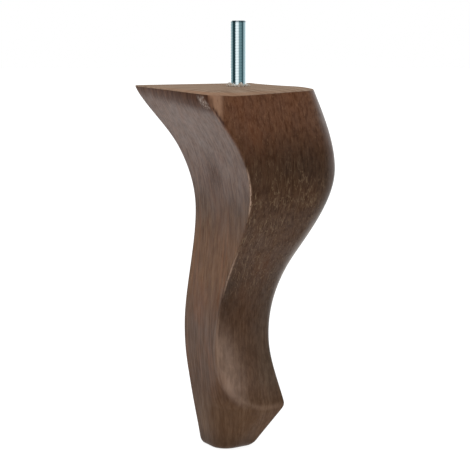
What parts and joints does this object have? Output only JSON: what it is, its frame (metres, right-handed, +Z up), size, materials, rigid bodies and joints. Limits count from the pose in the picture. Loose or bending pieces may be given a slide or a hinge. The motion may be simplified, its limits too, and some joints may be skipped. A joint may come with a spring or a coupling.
{
  "type": "cabriole furniture leg",
  "caption": "Stained wooden cabriole furniture leg with a full knee, slim ankle and pointed toe, screwed on by the threaded steel stud in its flat mounting face.",
  "frame": {"origin": "on the floor under the hanger bolt's axis, which is the middle of the leg's square outline", "axes": "+Z up along the hanger bolt, with the knee and the toe on the diagonal between +X and +Y"},
  "size_m": [0.0786, 0.0786, 0.2211],
  "materials": {
    "wood": "brown stain, satin lacquer, sanded",
    "steel": "bright zinc plated thread"
  },
  "bodies": {
    "root": {"wooden_leg": "wood", "hanger_bolt": "steel"}
  },
  "joints": []
}
